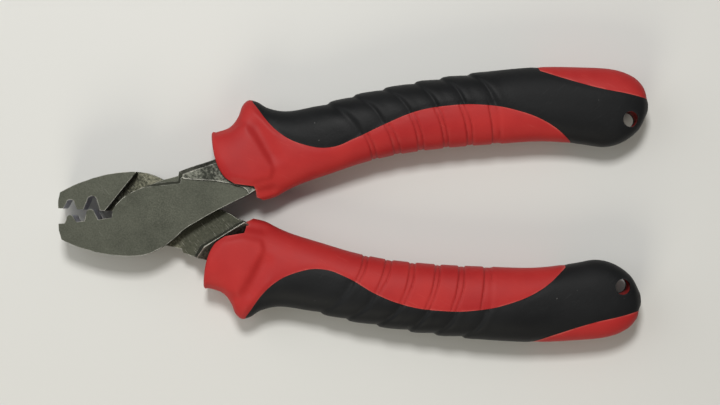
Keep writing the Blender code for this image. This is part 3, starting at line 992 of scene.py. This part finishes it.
def makeRedPlastic():
    finish, tree, shader = newFinish("redPlastic")
    grain = useGroup(tree, surfaceGrain, redLook["grain"])
    worn = useGroup(tree, edgeWearAndHighlight, redLook["wear"])["Mask"]
    dirtAndShade = useGroup(tree, hollowDirtAndShade, redLook["dirtAndShade"])["Mask"]
    scratch = useGroup(tree, fineScratches, redLook["scratch"])["Mask"]
    colour = blended(tree, grain["Broad"], redLook["deep"], redLook["light"])
    colour = blended(tree, product(tree, worn, redLook["wearShare"]), colour, redLook["rubbed"])
    colour = blended(tree, product(tree, scratch, redLook["scratchShare"]), colour, redLook["rubbed"])
    # darker red where the surface is hollow: dirt, with painted shade in grooves and corners
    colour = blended(tree, dirtAndShade, colour, redLook["grimeAndShade"])
    tree.links.new(colour, shader.inputs["Base Color"])
    shader.inputs["Specular IOR Level"].default_value = redLook["specular"]
    roughened(tree, shader, grain["Broad"], redLook["roughness"])
    bumped(tree, shader, grain["Height"], *redLook["bump"])
    return finish


blackLook = {
    "deep": (0.0068, 0.0072, 0.0078, 1),
    "light": (0.0115, 0.0120, 0.0128, 1),
    "dusty": (0.033, 0.034, 0.036, 1),
    "fleck": (0.12, 0.12, 0.115, 1),
    "roughness": (0.46, 0.60),
    "specular": 0.12,
    "grain": {"Fine": 2100.0, "Broad": 60.0},
    "wear": {"Width": 0.0008, "Strength": 3.0, "Patches": 200.0},
    "dirtAndShade": {"Reach": 0.0014, "Patches": 260.0},
    "scratch": {"Turn": -0.7, "Length": 260.0, "Width": 3000.0, "Amount": 0.5},
    "wearShare": 0.5,
    "scratchShare": 0.6,
    "dirtAndShadeShare": 0.35,
    "fleckScale": 900.0,
    "fleckRange": (0.80, 0.84),
    "bump": (0.4, 0.00018),
}


def makeBlackRubber():
    finish, tree, shader = newFinish("blackRubber")
    grain = useGroup(tree, surfaceGrain, blackLook["grain"])
    worn = useGroup(tree, edgeWearAndHighlight, blackLook["wear"])["Mask"]
    dirtAndShade = useGroup(tree, hollowDirtAndShade, blackLook["dirtAndShade"])["Mask"]
    scratch = useGroup(tree, fineScratches, blackLook["scratch"])["Mask"]
    coords = addNode(tree, "TexCoord").outputs["Object"]
    flecks = scaled(tree, noise(tree, coords, blackLook["fleckScale"], 1.0), *blackLook["fleckRange"])
    colour = blended(tree, grain["Broad"], blackLook["deep"], blackLook["light"])
    colour = blended(tree, product(tree, worn, blackLook["wearShare"]), colour, blackLook["dusty"])
    colour = blended(tree, product(tree, scratch, blackLook["scratchShare"]), colour, blackLook["dusty"])
    # darker where the surface is hollow: dirt, with painted shade in ribs and corners
    colour = blended(tree, product(tree, dirtAndShade, blackLook["dirtAndShadeShare"]), colour, blackLook["deep"])
    colour = blended(tree, flecks, colour, blackLook["fleck"])
    tree.links.new(colour, shader.inputs["Base Color"])
    shader.inputs["Specular IOR Level"].default_value = blackLook["specular"]
    roughened(tree, shader, grain["Broad"], blackLook["roughness"])
    bumped(tree, shader, grain["Height"], *blackLook["bump"])
    return finish


# what every steel finish shares
steelForm = {
    "metallic": 0.75,
    "broad": 110.0,
    "broadShare": 0.25,
    "fineShare": 0.75,
    "wear": {"Width": 0.00028, "Strength": 7.0, "Patches": 420.0},
    "edgeBandAndHighlight": {"Width": 0.0011, "Strength": 4.0, "Patches": 900.0},
    "dirtAndShade": {"Reach": 0.0006, "Patches": 300.0},
    "scratch": {"Turn": 0.9, "Length": 240.0, "Width": 6500.0},
    "rivetClear": (0.0045, 0.0049),
    "tangSide": (0.002, 0.006),
    "bumpDepth": 0.00008,
}

headSteel = {
    "deep": (0.050, 0.053, 0.040, 1), "light": (0.086, 0.090, 0.069, 1),
    "bright": (0.50, 0.49, 0.44, 1), "sootAndShade": (0.014, 0.015, 0.013, 1),
    "roughness": (0.42, 0.54), "fine": 2400.0, "bump": 0.4, "contrast": (0.30, 0.70),
    "scratches": 0.1, "wear": 0.9, "edgeBandAndHighlight": 0.0, "tangShadeShare": 0.0, "dirtAndShade": 0.8,
}

steelLooks = {
    "leverSteel": headSteel,
    # machined die walls, with painted light: brightened and tinted blue to stand in for the light in the
    # notches
    "dieSteelWithPaintedLight": {
        "deep": (0.30, 0.30, 0.33, 1), "light": (0.58, 0.58, 0.64, 1),
        "bright": (0.70, 0.70, 0.72, 1), "sootAndShade": (0.030, 0.031, 0.032, 1),
        "roughness": (0.34, 0.46), "fine": 1800.0, "bump": 0.4, "contrast": (0.36, 0.64),
        "scratches": 0.2, "wear": 0.6, "edgeBandAndHighlight": 0.0, "tangShadeShare": 0.0, "dirtAndShade": 0.3,
    },
    "lapSteel": {
        "deep": (0.042, 0.044, 0.030, 1), "light": (0.190, 0.186, 0.134, 1),
        "bright": (0.50, 0.49, 0.42, 1), "sootAndShade": (0.014, 0.015, 0.013, 1),
        "roughness": (0.38, 0.52), "fine": 1500.0, "bump": 0.8, "contrast": (0.40, 0.66),
        "scratches": 0.8, "wear": 0.9, "edgeBandAndHighlight": 0.0, "tangShadeShare": 0.85, "dirtAndShade": 0.8,
    },
    # darker steel for the sloped tang faces: painted shade, with forged texture
    "shadedSlopeSteel": {
        "deep": (0.020, 0.021, 0.017, 1), "light": (0.098, 0.100, 0.082, 1),
        "bright": (0.62, 0.61, 0.55, 1), "sootAndShade": (0.010, 0.011, 0.009, 1),
        "roughness": (0.40, 0.54), "fine": 1500.0, "bump": 0.9, "contrast": (0.38, 0.64),
        "scratches": 0.3, "wear": 1.5, "edgeBandAndHighlight": 0.35, "tangShadeShare": 0.0, "dirtAndShade": 0.8,
    },
    "forgedSteel": {
        "deep": (0.024, 0.026, 0.020, 1), "light": (0.150, 0.154, 0.126, 1),
        "bright": (0.66, 0.65, 0.58, 1), "sootAndShade": (0.010, 0.011, 0.009, 1),
        "roughness": (0.34, 0.50), "fine": 1500.0, "bump": 0.8, "contrast": (0.40, 0.62),
        "scratches": 0.3, "wear": 1.5, "edgeBandAndHighlight": 0.55, "tangShadeShare": 0.0, "dirtAndShade": 0.8,
    },
    "rivetSteel": {
        **headSteel,
        "sootAndShade": (0.035, 0.037, 0.030, 1), "contrast": (0.36, 0.64), "wear": 0.0,
    },
}


def makeSteel(name):
    look = steelLooks[name]
    finish, tree, shader = newFinish(name)
    grain = useGroup(tree, surfaceGrain, {"Fine": look["fine"], "Broad": steelForm["broad"]})
    worn = useGroup(tree, edgeWearAndHighlight, steelForm["wear"])["Mask"]
    edgeBandAndHighlight = useGroup(tree, edgeWearAndHighlight, steelForm["edgeBandAndHighlight"])["Mask"]
    dirtAndShade = useGroup(tree, hollowDirtAndShade, steelForm["dirtAndShade"])["Mask"]
    scratch = useGroup(tree, fineScratches, {**steelForm["scratch"], "Amount": look["scratches"]})["Mask"]
    coords = addNode(tree, "TexCoord").outputs["Object"]
    # no wear round the rivet, and painted shade that darkens the lap face towards the tang
    flat = addNode(tree, "VectorMath", {0: coords, 1: (1.0, 1.0, 0.0)}, operation="MULTIPLY").outputs[0]
    away = addNode(tree, "VectorMath", {0: flat}, operation="LENGTH").outputs["Value"]
    clearOfRivet = scaled(tree, away, *steelForm["rivetClear"], 0.0, look["wear"])
    across = addNode(tree, "SeparateXYZ", {"Vector": coords}).outputs["X"]
    paintedTangShade = scaled(tree, across, *steelForm["tangSide"], 0.0, look["tangShadeShare"])
    tone = addNode(tree, "Math", {
        0: product(tree, grain["Broad"], steelForm["broadShare"]),
        1: product(tree, grain["Fine"], steelForm["fineShare"]),
    }, operation="ADD").outputs[0]
    colour = blended(tree, scaled(tree, tone, *look["contrast"]), look["deep"], look["light"])
    # painted shade on the lap face towards the tang
    colour = blended(tree, paintedTangShade, colour, look["deep"])
    # brighter in a wide band along convex tang edges: worn edges, with a painted highlight
    colour = blended(tree, product(tree, edgeBandAndHighlight, look["edgeBandAndHighlight"]), colour, look["bright"])
    colour = blended(tree, scratch, colour, look["bright"])
    # towards a near-black colour where the surface is hollow: dirt, with painted shade in notches and corners
    colour = blended(tree, product(tree, dirtAndShade, look["dirtAndShade"]), colour, look["sootAndShade"])
    colour = blended(tree, product(tree, worn, clearOfRivet), colour, look["bright"])
    tree.links.new(colour, shader.inputs["Base Color"])
    roughened(tree, shader, grain["Broad"], look["roughness"])
    shader.inputs["Metallic"].default_value = steelForm["metallic"]
    bumped(tree, shader, grain["Height"], look["bump"], steelForm["bumpDepth"])
    return finish


redPlastic = makeRedPlastic()
blackRubber = makeBlackRubber()
steels = {name: makeSteel(name) for name in steelLooks}
print("materials are ready")

for side, spec in grips.items():
    makeGrip(side, spec)

finishLever("front_lever", "frontLever", "front_half")
finishLever("rear_lever", "rearLever", "rear_half")
makeRivet()
